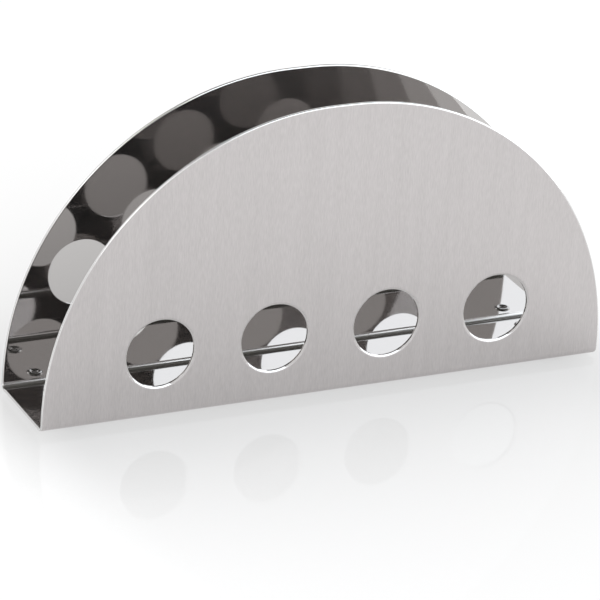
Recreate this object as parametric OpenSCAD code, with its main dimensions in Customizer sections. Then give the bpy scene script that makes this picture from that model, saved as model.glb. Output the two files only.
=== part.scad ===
// Napkin holder bent from one stainless sheet, standing on four rubber feet, three of them riveted.
// The floor lies on X and Y, the two walls face -Y and +Y, and +Z is up.
// The origin is on the table, under the middle of the holder.

/* [Walls] */
// Radius of the round shoulders of each wall
rim_r = 97; // [88:1:120]
// Length of the level stretch between the two shoulders, at the crown
crown_flat = 6; // [2:0.5:20]
// Straight side of each wall between the bend and the shoulder
wall_straight = 1.5; // [0.3:0.1:15]
// Depth of the holder over the outsides of its two walls
holder_d = 35; // [30:0.5:60]

/* [Sheet] */
// Thickness of the stainless sheet
sheet_t = 1; // [0.8:0.1:1.4]
// Inside radius of the two bends
bend_in_r = 1.5; // [0.8:0.1:3]
// Width on each face of the roll along all the cut edges of the sheet
roll_w = 0.6; // [0.4:0.1:0.8]
// Depth into the thickness of the roll along the cut edges
roll_depth = 0.3; // [0.1:0.05:0.3]

/* [Round holes] */
// Number of holes in each wall
hole_count = 4; // [1:1:4]
// Distance between the centres of neighbouring holes
hole_pitch = 40; // [34:1:46]
// Diameter of each hole
hole_d = 23.4; // [16:0.2:28]
// Height of the hole centres above the underside of the sheet
hole_h = 22.5; // [20:0.5:40]
// Width of the rolled lip at the outer mouth of each hole
lip_w = 0.9; // [0.4:0.1:1.2]
// Depth of the rolled lip at the outer mouth of each hole
lip_depth = 0.3; // [0.1:0.05:0.4]

/* [Feet] */
// Diameter of each rubber foot
foot_d = 9; // [7:0.1:10]
// Height of each rubber foot, which is the gap under the sheet
foot_h = 1; // [1:0.1:3]
// Rubber left under the sheet inside the recess of a foot
foot_web = 0.45; // [0.3:0.05:0.55]
// Distance from the end of the sheet to the centre of a foot
foot_inset = 14.2; // [8:0.1:30]
// Flat of the floor left between a foot and the start of the bend
foot_margin = 1.3; // [0:0.1:2]
// Gap all round between the recess of a foot and the collar of its rivet
recess_gap = 0.5; // [0.2:0.1:0.8]

/* [Rivets] */
// Diameter over the ring-shaped head of a rivet
head_d = 5.4; // [5:0.1:6.4]
// Height of the ring-shaped head of a rivet
head_h = 0.5; // [0.3:0.05:0.5]
// Diameter of the shank of a rivet
shank_d = 3.2; // [2.8:0.1:3.6]
// Diameter of the bore through a rivet
bore_d = 2; // [1.4:0.1:2.4]
// Diameter of the collar that is set under the foot
collar_d = 4.4; // [4:0.1:5]
// Thickness of the collar that is set under the foot
collar_t = 0.35; // [0.2:0.05:0.4]
// Gap all round between a shank and the holes it passes through
shank_gap = 0.05; // [0.02:0.01:0.15]

/* [Hidden] */
holder_w = 2 * rim_r + crown_flat;
bend_out_r = bend_in_r + sheet_t;
floor_top = foot_h + sheet_t;
bend_z = foot_h + bend_out_r;
shoulder_z = bend_z + wall_straight;
floor_flat = holder_d - 2 * bend_out_r;
hole_r = hole_d / 2;
hole_z = foot_h + hole_h;
// Rolls and lips are arcs that leave the face smoothly and end at the cut surface
roll_arc_r = (roll_w * roll_w + roll_depth * roll_depth) / (2 * roll_depth);
lip_arc_r = (lip_w * lip_w + lip_depth * lip_depth) / (2 * lip_depth);
foot_x = holder_w / 2 - foot_inset;
foot_y = floor_flat / 2 - foot_margin - foot_d / 2;
shank_hole_d = shank_d + 2 * shank_gap;
recess_d = collar_d + 2 * recess_gap;
recess_depth = foot_h - foot_web;
collar_z = recess_depth - collar_t;
// The section of the head is a slice of a circle, from the bore out to the head diameter
head_ring_w = (head_d - bore_d) / 2;
head_mid_r = (head_d + bore_d) / 4;
head_arc_r = (head_ring_w * head_ring_w / 4 + head_h * head_h) / (2 * head_h);
// The feet that have a rivet; the fourth, at the front right, is bonded on
RIVETED = [[-foot_x, -foot_y], [-foot_x, foot_y], [foot_x, foot_y]];
// How far a cutting shape runs past what it cuts
overrun = 1;
$fn = 96;
// Steps of a full turn on the large shoulders
shoulder_steps = 240;

// Cutter of the roll on one corner: the corner is the origin, the sheet lies at +X and -Y
module corner_roll() {
  difference() {
    translate([-overrun, -roll_w]) square([overrun + roll_depth, roll_w + overrun]);
    translate([roll_arc_r, -roll_w]) circle(r = roll_arc_r);
  }
}

// Cross-section of the whole strip: its thickness runs along +X and its width along Y
module strip_section() {
  difference() {
    translate([0, -holder_w / 2]) square([sheet_t, holder_w]);
    for (side = [0, 1], face = [0, 1])
      mirror([0, side, 0])
        translate([face * sheet_t, holder_w / 2]) mirror([face, 0, 0]) corner_roll();
  }
}

// Section of a wall from the middle of a shoulder out to its rolled rim, along +X
module rim_section() {
  difference() {
    square([rim_r, sheet_t]);
    for (face = [0, 1])
      translate([rim_r, face * sheet_t])
        mirror([0, face, 0]) mirror([1, -1, 0]) corner_roll();
  }
}

// One wall above its bend, with its outer face on y = 0 and the shoulders centred on z = 0
module wall() {
  for (side = [0, 1])
    mirror([side, 0, 0])
      translate([crown_flat / 2, sheet_t, 0])
        rotate([90, 0, 0]) rotate_extrude(angle = 90, $fn = shoulder_steps) rim_section();
  rotate([0, -90, 0]) linear_extrude(height = crown_flat, center = true) rim_section();
  translate([0, 0, -wall_straight])
    rotate([0, 0, 90]) linear_extrude(height = wall_straight) strip_section();
}

// The back half of the bent strip: half of the floor, one bend and one wall
module half_strip() {
  translate([0, 0, foot_h])
    rotate([-90, 0, 0]) rotate([0, 0, -90])
      linear_extrude(height = floor_flat / 2) strip_section();
  translate([0, floor_flat / 2, bend_z])
    rotate([0, 90, 0]) rotate_extrude(angle = 90) translate([bend_in_r, 0]) strip_section();
  translate([0, holder_d / 2, shoulder_z]) mirror([0, 1, 0]) wall();
}

// Cutter of one hole, entering at z = 0, with the rolled lip round its mouth
module hole_cutter() {
  rotate_extrude() {
    translate([0, -overrun]) square([hole_r, sheet_t + 2 * overrun]);
    difference() {
      translate([0, -overrun]) square([hole_r + lip_w, overrun + lip_depth]);
      translate([hole_r + lip_w, lip_arc_r]) circle(r = lip_arc_r);
    }
  }
}

// The holder itself: floor, two bends and two walls from one sheet, with its holes
module bent_sheet() {
  color("silver")
    difference() {
      union() {
        half_strip();
        mirror([0, 1, 0]) half_strip();
      }
      for (side = [0, 1], i = [0 : hole_count - 1])
        mirror([0, side, 0])
          translate([(i - (hole_count - 1) / 2) * hole_pitch, -holder_d / 2, hole_z])
            rotate([-90, 0, 0]) hole_cutter();
      for (place = RIVETED)
        translate([place[0], place[1], foot_h - overrun])
          cylinder(d = shank_hole_d, h = sheet_t + 2 * overrun);
    }
}

// One riveted rubber foot under the floor, with a recess for the collar of its rivet
module foot(x, y) {
  color("dimgray")
    translate([x, y, 0])
      difference() {
        cylinder(d = foot_d, h = foot_h);
        translate([0, 0, -overrun]) cylinder(d = recess_d, h = overrun + recess_depth);
        translate([0, 0, -overrun]) cylinder(d = shank_hole_d, h = foot_h + 2 * overrun);
      }
}

// The bonded rubber foot, a plain disc
module bonded_foot(x, y) {
  color("dimgray") translate([x, y, 0]) cylinder(d = foot_d, h = foot_h);
}

// One hollow rivet: ring head on the floor, shank through sheet and foot, set collar below
module rivet(x, y) {
  color("gainsboro")
    translate([x, y, 0])
      rotate_extrude() {
        translate([bore_d / 2, collar_z]) square([(collar_d - bore_d) / 2, collar_t]);
        translate([bore_d / 2, collar_z]) square([(shank_d - bore_d) / 2, floor_top - collar_z]);
        intersection() {
          translate([bore_d / 2, floor_top]) square([head_ring_w, head_h]);
          translate([head_mid_r, floor_top + head_h - head_arc_r]) circle(r = head_arc_r);
        }
      }
}

bent_sheet();
foot(-foot_x, -foot_y);  // foot_front_left
bonded_foot(foot_x, -foot_y);  // foot_front_right
foot(-foot_x, foot_y);  // foot_back_left
foot(foot_x, foot_y);  // foot_back_right
rivet(-foot_x, -foot_y);  // rivet_front_left
rivet(-foot_x, foot_y);  // rivet_back_left
rivet(foot_x, foot_y);  // rivet_back_right
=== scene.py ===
"""Looks of the napkin holder: one bent sheet of stainless steel on four rubber feet.

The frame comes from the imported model. Everything here is in metres, with +Z up and the
origin on the table under the middle of the holder.
"""

import math

import bpy
from mathutils import Matrix, Vector


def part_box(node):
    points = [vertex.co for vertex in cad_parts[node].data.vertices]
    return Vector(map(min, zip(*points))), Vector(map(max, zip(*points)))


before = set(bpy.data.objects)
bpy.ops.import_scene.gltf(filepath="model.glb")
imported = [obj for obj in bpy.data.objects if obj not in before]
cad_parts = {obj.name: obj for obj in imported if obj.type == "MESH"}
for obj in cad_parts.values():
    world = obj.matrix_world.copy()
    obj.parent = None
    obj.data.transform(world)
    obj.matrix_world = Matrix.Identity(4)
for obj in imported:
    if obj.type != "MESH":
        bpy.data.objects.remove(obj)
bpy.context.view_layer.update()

MM = 0.001

# Sheet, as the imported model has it
SHEET_LOW, SHEET_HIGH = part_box("bent_sheet")
SHEET_T = 1.0 * MM
BEND_IN_R = 1.5 * MM
BEND_OUT_R = BEND_IN_R + SHEET_T
BEND_Y = SHEET_HIGH.y - BEND_OUT_R
BEND_Z = SHEET_LOW.z + BEND_OUT_R
# The walls' outline is two quarter circles about points this far from the middle
CROWN_HALF = 3 * MM
RIM_R = SHEET_HIGH.x - CROWN_HALF
SHOULDER_Z = SHEET_HIGH.z - RIM_R

# Corners with a riveted foot, then all corners: the foot at the front right is bonded on
RIVETED = ("front_left", "back_left", "back_right")
FEET = (*RIVETED, "front_right")

# Most of a noise's greys lie between these two
NOISE_LOW = 0.3
NOISE_HIGH = 0.7

# Brushed outside of the sheet: an upright grain, as a fine and a broad noise
BRUSHED_DARK = (0.541, 0.517, 0.514)
BRUSHED_LIGHT = (0.65, 0.621, 0.618)
BRUSHED_ROUGHNESS = (0.34, 0.44)
BRUSHED_BUMP = 0.004 * MM
FINE_SCALE = (3200, 300, 400)
FINE_DETAIL = 2.0
FINE_SHARE = 0.7
BROAD_SCALE = (260, 60, 9)
BROAD_DETAIL = 3.0
BROAD_SHARE = 0.3
ANISOTROPY = 0.8
# The brushed skin begins and is full at these depths under the outer face
SKIN_START = 0.1 * MM
SKIN_FULL = 0.01 * MM

# Polished inside of the sheet, a little uneven
POLISHED = (0.57, 0.554, 0.547)
POLISHED_ROUGHNESS = (0.02, 0.035)
SMUDGE_SCALE = (40, 40, 40)
SMUDGE_DETAIL = 3.0
# A small dull share keeps the sheet's darkest reflections grey
STEEL_METALLIC = 0.968
# Bending stretches the polish along the inner bends to a satin
BEND_ROUGHNESS = 0.27
BEND_BLEND = 0.35 * MM
# The walls spring open a little after bending: a slope of their mirror images
SPRING_SLOPE = 0.0018

# Cut edges: rougher, with a colour brighter than the steel as a painted highlight; it starts and is
# full this far short of the rim
PAINTED_EDGE_HIGHLIGHT = (0.88, 0.875, 0.87)
CUT_ROUGHNESS = 0.16
CUT_START = 0.33 * MM
CUT_FULL = 0.2 * MM
# A thin grey line on each roll, beside the flat of the cut, is a painted reflection of dark
# surroundings.
# It starts, is full, starts to fade and ends this far from the middle of the thickness.
ROLL_DARK_REFLECTION = (0.4, 0.4, 0.4)
ROLL_LINE_START = 0.17 * MM
ROLL_LINE_FULL = 0.21 * MM
ROLL_LINE_FADE = 0.272 * MM
ROLL_LINE_END = 0.34 * MM

# Rivets: polished steel with faint turning marks
RIVET_DARK = (0.43, 0.425, 0.42)
RIVET_LIGHT = (0.48, 0.475, 0.47)
RIVET_ROUGHNESS = (0.08, 0.18)
MARKS_SCALE = (900, 900, 3000)
MARKS_DETAIL = 2.0

# Feet: matt rubber with a fine moulded grain
RUBBER_DARK = (0.055, 0.055, 0.055)
RUBBER_LIGHT = (0.10, 0.10, 0.098)
RUBBER_ROUGHNESS = (0.62, 0.8)
RUBBER_GRAIN_SCALE = (2500, 2500, 2500)
RUBBER_GRAIN_DETAIL = 4.0
RUBBER_BUMP = 0.03 * MM
RUBBER_BUMP_STRENGTH = 0.3

# Camera, fitted to the outlines and holes in the photograph's 600 pixel frame
FRAME_PX = 600
FOCAL_PX = 4291.9
CAMERA_SIDE_DEG = -26.47
CAMERA_UP_DEG = 24.13
CAMERA_ROLL_DEG = 3.88
CAMERA_DISTANCE = 1399.7 * MM
CAMERA_TARGET = Vector((-3.24 * MM, 0, 27.07 * MM))
SENSOR_MM = 36

# Light crosses the channel between the two mirror walls many times before it gets out
MIRROR_BOUNCES = 16

# Floor: a plain pale board, part its own white with a painted shade and part real shading, with a
# weak gloss
FLOOR_HALF = 6.0
FLOOR_WHITE = 0.975
FLOOR_SHADE = 0.17
GLOSS_SHARE = 0.06
GLOSS_ROUGHNESS = 0.05
# Painted shade: the walls hide part of the sky from the board, on both sides alike. This share of
# the hidden sky leaves the board's white, and the walls count as at least so high there.
HIDDEN_SKY = 0.75
HIDDEN_LEAST = 8 * MM
# The shade keeps most of its height toward the ends and fades out past them. The fades are
# in half lengths of the holder.
HIDDEN_FALL = 0.55
HIDDEN_FADE_START = 0.85
HIDDEN_FADE_END = 1.3

# Surroundings: heights are sines of the elevation. Soft light gets a part of the brightness
# that the camera and mirrors see.
BACKDROP = (1, 1, 1)
BACKDROP_TOP = 0.45
CEILING_START = 0.7
CEILING = (0.124, 0.123, 0.112)
SOFT_LIGHT = 0.8

# Lamps: name, degrees to the right of the front and up, then distance, width and height in
# metres, radiance and colour. The first stands on the right and looks white in the polished
# steel. The second stands beside the camera and gives the bright lines along the cut edges.
# The third stands past the right end, seen along the right rims and the hole lips.
LAMPS = (
    ("softbox_right", 38, 24, 1.5, 1.8, 1.3, 1.7, (0.85, 0.935, 1.0)),
    ("softbox_fill", -32, 30, 1.6, 0.8, 0.8, 1.2, (1.0, 1.0, 1.0)),
    ("side_lamp", 84, 20, 1.5, 0.9, 0.9, 1.2, (1.0, 1.0, 1.0)),
)


def new_material(name):
    """A new node material, its nodes and links, and its Principled shader."""
    material = bpy.data.materials.new(name)
    material.use_nodes = True
    nodes = material.node_tree.nodes
    return material, nodes, material.node_tree.links, nodes["Principled BSDF"]


def set_or_link(links, socket, value):
    """Gives a number to a socket, or links another socket to it."""
    if isinstance(value, (int, float)):
        socket.default_value = value
    else:
        links.new(value, socket)


def math_node(nodes, links, operation, *values):
    """A Math node on sockets or numbers; returns its output."""
    node = nodes.new("ShaderNodeMath")
    node.operation = operation
    for socket, value in zip(node.inputs, values):
        set_or_link(links, socket, value)
    return node.outputs[0]


def map_range(nodes, links, value, low, high, to_low, to_high, smooth=False):
    """A clamped Map Range of a socket; returns its output."""
    node = nodes.new("ShaderNodeMapRange")
    node.interpolation_type = "SMOOTHSTEP" if smooth else "LINEAR"
    links.new(value, node.inputs["Value"])
    node.inputs["From Min"].default_value = low
    node.inputs["From Max"].default_value = high
    node.inputs["To Min"].default_value = to_low
    node.inputs["To Max"].default_value = to_high
    return node.outputs["Result"]


def spread(nodes, links, grey, ends):
    """A noise's greys spread over the range between two numbers; returns a socket."""
    return map_range(nodes, links, grey, NOISE_LOW, NOISE_HIGH, *ends)


def noise(nodes, links, scale, detail):
    """A Noise texture on object coordinates stretched by a scale vector; its grey output."""
    place = nodes.new("ShaderNodeTexCoord")
    mapping = nodes.new("ShaderNodeMapping")
    mapping.inputs["Scale"].default_value = scale
    links.new(place.outputs["Object"], mapping.inputs["Vector"])
    node = nodes.new("ShaderNodeTexNoise")
    node.noise_dimensions = "3D"
    links.new(mapping.outputs["Vector"], node.inputs["Vector"])
    node.inputs["Scale"].default_value = 1.0
    node.inputs["Detail"].default_value = detail
    return node.outputs["Fac"]


def mix_colour(nodes, links, factor, low, high):
    """A colour mix by a factor socket; low and high are colours or sockets."""
    node = nodes.new("ShaderNodeMix")
    node.data_type = "RGBA"
    links.new(factor, node.inputs["Factor"])
    for name, value in (("A", low), ("B", high)):
        socket = [s for s in node.inputs if s.name == name and s.type == "RGBA"][0]
        if isinstance(value, tuple):
            socket.default_value = (*value, 1)
        else:
            links.new(value, socket)
    return [s for s in node.outputs if s.type == "RGBA"][0]


def mix_value(nodes, links, factor, low, high):
    """A mix of two numbers or sockets by a factor socket; returns its output."""
    node = nodes.new("ShaderNodeMix")
    node.data_type = "FLOAT"
    links.new(factor, node.inputs[0])
    set_or_link(links, node.inputs[2], low)
    set_or_link(links, node.inputs[3], high)
    return node.outputs[0]


def object_place(nodes, links):
    """The X, Y and Z outputs of the object coordinates."""
    place = nodes.new("ShaderNodeTexCoord")
    split = nodes.new("ShaderNodeSeparateXYZ")
    links.new(place.outputs["Object"], split.inputs[0])
    return split.outputs


def bend_place(nodes, links):
    """How far a point lies past the bend lines, across and down, zero on the flats: two sockets."""
    place = object_place(nodes, links)
    across = math_node(nodes, links, "ABSOLUTE", place["Y"])
    across = math_node(nodes, links, "SUBTRACT", across, BEND_Y)
    across = math_node(nodes, links, "MAXIMUM", across, 0.0)
    down = math_node(nodes, links, "SUBTRACT", BEND_Z, place["Z"])
    down = math_node(nodes, links, "MAXIMUM", down, 0.0)
    return across, down


def length(nodes, links, first, second):
    """The length of the slant over two legs; returns a socket."""
    first_sq = math_node(nodes, links, "MULTIPLY", first, first)
    second_sq = math_node(nodes, links, "MULTIPLY", second, second)
    return math_node(nodes, links, "SQRT", math_node(nodes, links, "ADD", first_sq, second_sq))


def cut_edge(nodes, links):
    """One on the cut edges of the sheet, zero on its faces; returns a socket."""
    place = object_place(nodes, links)
    along = math_node(nodes, links, "ABSOLUTE", place["X"])
    along = math_node(nodes, links, "SUBTRACT", along, CROWN_HALF)
    up = math_node(nodes, links, "SUBTRACT", place["Z"], SHOULDER_Z)
    up = math_node(nodes, links, "MAXIMUM", up, 0.0)
    reach = length(nodes, links, along, up)
    return map_range(nodes, links, reach, RIM_R - CUT_START, RIM_R - CUT_FULL, 0, 1)


def painted_roll_line(nodes, links, depth, edge):
    """One along the painted dark line on each roll of the cut, zero elsewhere; returns a socket."""
    off_middle = math_node(nodes, links, "SUBTRACT", depth, BEND_IN_R + SHEET_T / 2)
    off_middle = math_node(nodes, links, "ABSOLUTE", off_middle)
    outside_flat = map_range(nodes, links, off_middle, ROLL_LINE_START, ROLL_LINE_FULL, 0, 1)
    short_of_face = map_range(nodes, links, off_middle, ROLL_LINE_FADE, ROLL_LINE_END, 1, 0)
    line = math_node(nodes, links, "MULTIPLY", outside_flat, short_of_face)
    return math_node(nodes, links, "MULTIPLY", line, edge)


def sprung_normal(nodes, links):
    """The surface normal, tipped up a little as on walls that spring open; returns a socket."""
    surface = nodes.new("ShaderNodeNewGeometry")
    sprung = nodes.new("ShaderNodeVectorMath")
    sprung.operation = "ADD"
    sprung.inputs[1].default_value = (0, 0, SPRING_SLOPE)
    links.new(surface.outputs["Normal"], sprung.inputs[0])
    level = nodes.new("ShaderNodeVectorMath")
    level.operation = "NORMALIZE"
    links.new(sprung.outputs[0], level.inputs[0])
    return level.outputs[0]


def sheet_material():
    """Stainless sheet: brushed outside with an upright grain, mirror inside, cut edges with a
    painted highlight and a painted dark line.
    """
    material, nodes, links, shader = new_material("stainless_sheet")
    # The depth is BEND_IN_R on the inner faces and BEND_OUT_R on the outer ones
    across, down = bend_place(nodes, links)
    depth = length(nodes, links, across, down)
    outside = map_range(nodes, links, depth, BEND_OUT_R - SKIN_START, BEND_OUT_R - SKIN_FULL, 0, 1)
    edge = cut_edge(nodes, links)

    fine = noise(nodes, links, FINE_SCALE, FINE_DETAIL)
    broad = noise(nodes, links, BROAD_SCALE, BROAD_DETAIL)
    streak = math_node(nodes, links, "ADD",
                       math_node(nodes, links, "MULTIPLY", fine, FINE_SHARE),
                       math_node(nodes, links, "MULTIPLY", broad, BROAD_SHARE))
    light = spread(nodes, links, streak, (0, 1))
    colour = mix_colour(nodes, links, light, BRUSHED_DARK, BRUSHED_LIGHT)
    colour = mix_colour(nodes, links, outside, POLISHED, colour)
    # Painted highlight: the cut edges get a colour brighter than the steel
    colour = mix_colour(nodes, links, edge, colour, PAINTED_EDGE_HIGHLIGHT)
    # Painted reflection: a grey line on each roll of the cut edges
    colour = mix_colour(nodes, links, painted_roll_line(nodes, links, depth, edge), colour, ROLL_DARK_REFLECTION)
    links.new(colour, shader.inputs["Base Color"])

    smudge = noise(nodes, links, SMUDGE_SCALE, SMUDGE_DETAIL)
    rough_in = spread(nodes, links, smudge, POLISHED_ROUGHNESS)
    bend = math_node(nodes, links, "MINIMUM", across, down)
    bend = map_range(nodes, links, bend, 0, BEND_BLEND, 0, 1)
    rough_in = mix_value(nodes, links, bend, rough_in, BEND_ROUGHNESS)
    rough_out = spread(nodes, links, streak, BRUSHED_ROUGHNESS)
    rough = mix_value(nodes, links, outside, rough_in, rough_out)
    rough = mix_value(nodes, links, edge, rough, CUT_ROUGHNESS)
    links.new(rough, shader.inputs["Roughness"])

    bump = nodes.new("ShaderNodeBump")
    bump.inputs["Distance"].default_value = BRUSHED_BUMP
    links.new(outside, bump.inputs["Strength"])
    links.new(streak, bump.inputs["Height"])
    links.new(sprung_normal(nodes, links), bump.inputs["Normal"])
    links.new(bump.outputs["Normal"], shader.inputs["Normal"])

    shader.inputs["Metallic"].default_value = STEEL_METALLIC
    shader.inputs["Anisotropic"].default_value = ANISOTROPY
    tangent = nodes.new("ShaderNodeTangent")
    tangent.direction_type = "RADIAL"
    tangent.axis = "Z"
    links.new(tangent.outputs["Tangent"], shader.inputs["Tangent"])
    return material


def rivet_material():
    """Polished rivet steel with faint turning marks."""
    material, nodes, links, shader = new_material("rivet_steel_polished")
    marks = noise(nodes, links, MARKS_SCALE, MARKS_DETAIL)
    colour = mix_colour(nodes, links, marks, RIVET_DARK, RIVET_LIGHT)
    links.new(colour, shader.inputs["Base Color"])
    links.new(spread(nodes, links, marks, RIVET_ROUGHNESS), shader.inputs["Roughness"])
    shader.inputs["Metallic"].default_value = 1.0
    return material


def rubber_material():
    """Matt dark rubber of the feet with a fine moulded grain."""
    material, nodes, links, shader = new_material("foot_rubber_matt")
    grain = noise(nodes, links, RUBBER_GRAIN_SCALE, RUBBER_GRAIN_DETAIL)
    colour = mix_colour(nodes, links, grain, RUBBER_DARK, RUBBER_LIGHT)
    links.new(colour, shader.inputs["Base Color"])
    links.new(spread(nodes, links, grain, RUBBER_ROUGHNESS), shader.inputs["Roughness"])
    bump = nodes.new("ShaderNodeBump")
    bump.inputs["Strength"].default_value = RUBBER_BUMP_STRENGTH
    bump.inputs["Distance"].default_value = RUBBER_BUMP
    links.new(grain, bump.inputs["Height"])
    links.new(bump.outputs["Normal"], shader.inputs["Normal"])
    return material


def dress(node_names, material):
    """Gives CAD nodes a material in place of their plain one."""
    for name in node_names:
        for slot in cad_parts[name].material_slots:
            slot.material = material


def seen_directly(nodes, links):
    """One for rays from the camera, mirrors and glass, and zero for soft light; a socket."""
    path = nodes.new("ShaderNodeLightPath").outputs
    seen = math_node(nodes, links, "MAXIMUM", path["Is Camera Ray"], path["Is Glossy Ray"])
    return math_node(nodes, links, "MAXIMUM", seen, path["Is Transmission Ray"])


def hidden_sky(nodes, links):
    """Share of the sky that the walls hide from a point of the board, up to a half, for the board's
    painted shade; a socket.

    It is half of 1 - d / sqrt(d * d + h * h) for a wall of height h at a distance d.
    """
    def calc(operation, *values):
        return math_node(nodes, links, operation, *values)

    place = object_place(nodes, links)
    half_length = SHEET_HIGH.x
    along = calc("ABSOLUTE", place["X"])
    aside = calc("ABSOLUTE", place["Y"])
    away = calc("MAXIMUM", calc("SUBTRACT", aside, SHEET_HIGH.y), 0.0)
    away_sq = calc("MULTIPLY", away, away)
    fall = calc("MULTIPLY", calc("MULTIPLY", along, along), -HIDDEN_FALL)
    height_sq = calc("MAXIMUM", calc("ADD", fall, half_length ** 2), HIDDEN_LEAST ** 2)
    slant_sq = calc("ADD", away_sq, height_sq)
    ratio = calc("SQRT", calc("DIVIDE", away_sq, slant_sq))
    hidden = calc("MULTIPLY_ADD", ratio, -0.5, 0.5)
    beside = map_range(nodes, links, along, HIDDEN_FADE_START * half_length,
                       HIDDEN_FADE_END * half_length, 1, 0, smooth=True)
    return calc("MULTIPLY", hidden, beside)


def floor_material():
    """Plain pale board: its own white less the hidden sky as a painted shade, a traced shadow, and
    a weak gloss.
    """
    material = bpy.data.materials.new("pale_floor")
    material.use_nodes = True
    nodes, links = material.node_tree.nodes, material.node_tree.links
    nodes.clear()
    glow = nodes.new("ShaderNodeEmission")
    # Painted shade: the board's white is darker where the walls hide the sky
    sky = map_range(nodes, links, hidden_sky(nodes, links), 0, 1,
                    FLOOR_WHITE, FLOOR_WHITE * (1 - HIDDEN_SKY))
    sky = math_node(nodes, links, "MULTIPLY", seen_directly(nodes, links), sky)
    links.new(sky, glow.inputs["Strength"])
    shade = nodes.new("ShaderNodeBsdfDiffuse")
    shade.inputs["Color"].default_value = (FLOOR_SHADE, FLOOR_SHADE, FLOOR_SHADE, 1)
    board = nodes.new("ShaderNodeAddShader")
    links.new(shade.outputs[0], board.inputs[0])
    links.new(glow.outputs[0], board.inputs[1])
    gloss = nodes.new("ShaderNodeBsdfGlossy")
    gloss.inputs["Roughness"].default_value = GLOSS_ROUGHNESS
    # The gloss is for the camera alone, so the holder's mirrors show the board's plain white
    path = nodes.new("ShaderNodeLightPath")
    share = math_node(nodes, links, "MULTIPLY", path.outputs["Is Camera Ray"], GLOSS_SHARE)
    mix = nodes.new("ShaderNodeMixShader")
    links.new(share, mix.inputs[0])
    links.new(board.outputs[0], mix.inputs[1])
    links.new(gloss.outputs[0], mix.inputs[2])
    output = nodes.new("ShaderNodeOutputMaterial")
    links.new(mix.outputs[0], output.inputs["Surface"])
    return material


def add_floor():
    """The board that the holder stands on, large enough for every view."""
    mesh = bpy.data.meshes.new("floor")
    corners = [(x * FLOOR_HALF, y * FLOOR_HALF, 0) for x, y in ((-1, -1), (1, -1), (1, 1), (-1, 1))]
    mesh.from_pydata(corners, [], [(0, 1, 2, 3)])
    floor = bpy.data.objects.new("floor", mesh)
    bpy.context.scene.collection.objects.link(floor)
    mesh.materials.append(floor_material())


def add_world():
    """White surroundings up to the top of the backdrop, and a dark ceiling above it."""
    world = bpy.data.worlds.new("studio")
    bpy.context.scene.world = world
    world.use_nodes = True
    nodes, links = world.node_tree.nodes, world.node_tree.links
    background = nodes["Background"]
    place = nodes.new("ShaderNodeTexCoord")
    split = nodes.new("ShaderNodeSeparateXYZ")
    links.new(place.outputs["Generated"], split.inputs[0])
    height = map_range(nodes, links, split.outputs["Z"], BACKDROP_TOP, CEILING_START,
                       0, 1, smooth=True)
    links.new(mix_colour(nodes, links, height, BACKDROP, CEILING), background.inputs["Color"])
    strength = map_range(nodes, links, seen_directly(nodes, links), 0, 1, SOFT_LIGHT, 1.0)
    links.new(strength, background.inputs["Strength"])


def direction(side_deg, up_deg):
    """Unit vector from the holder, so far to the right of the front and so far up."""
    side = math.radians(side_deg)
    up = math.radians(up_deg)
    return Vector((math.sin(side) * math.cos(up), -math.cos(side) * math.cos(up), math.sin(up)))


def add_softbox(name, side_deg, up_deg, distance, width, height, radiance, colour):
    """A large rectangular lamp in a direction from the holder, aimed at it."""
    lamp = bpy.data.lights.new(name, "AREA")
    lamp.shape = "RECTANGLE"
    lamp.size = width
    lamp.size_y = height
    lamp.energy = radiance * math.pi * width * height
    lamp.color = colour
    toward = direction(side_deg, up_deg)
    holder = bpy.data.objects.new(name, lamp)
    holder.location = toward * distance
    holder.rotation_euler = (-toward).to_track_quat("-Z", "Y").to_euler()
    bpy.context.scene.collection.objects.link(holder)


def add_camera():
    """The photograph's viewpoint: left of the front, above, slightly rolled."""
    back = direction(CAMERA_SIDE_DEG, CAMERA_UP_DEG)
    roll = math.radians(CAMERA_ROLL_DEG)
    level = (-back).cross(Vector((0, 0, 1))).normalized()
    upright = level.cross(-back)
    right = level * math.cos(roll) + upright * math.sin(roll)
    up = upright * math.cos(roll) - level * math.sin(roll)
    data = bpy.data.cameras.new("camera")
    data.sensor_width = SENSOR_MM
    data.lens = FOCAL_PX / FRAME_PX * SENSOR_MM
    camera = bpy.data.objects.new("camera", data)
    turn = Matrix((right, up, back)).transposed().to_4x4()
    camera.matrix_world = Matrix.Translation(CAMERA_TARGET + back * CAMERA_DISTANCE) @ turn
    bpy.context.scene.collection.objects.link(camera)
    bpy.context.scene.camera = camera


add_camera()
dress(["bent_sheet"], sheet_material())
dress([f"foot_{place}" for place in FEET], rubber_material())
dress([f"rivet_{place}" for place in RIVETED], rivet_material())
add_floor()
add_world()
for lamp_values in LAMPS:
    add_softbox(*lamp_values)

bpy.context.scene.view_settings.view_transform = "Standard"
bpy.context.scene.cycles.max_bounces = MIRROR_BOUNCES
bpy.context.scene.cycles.glossy_bounces = MIRROR_BOUNCES
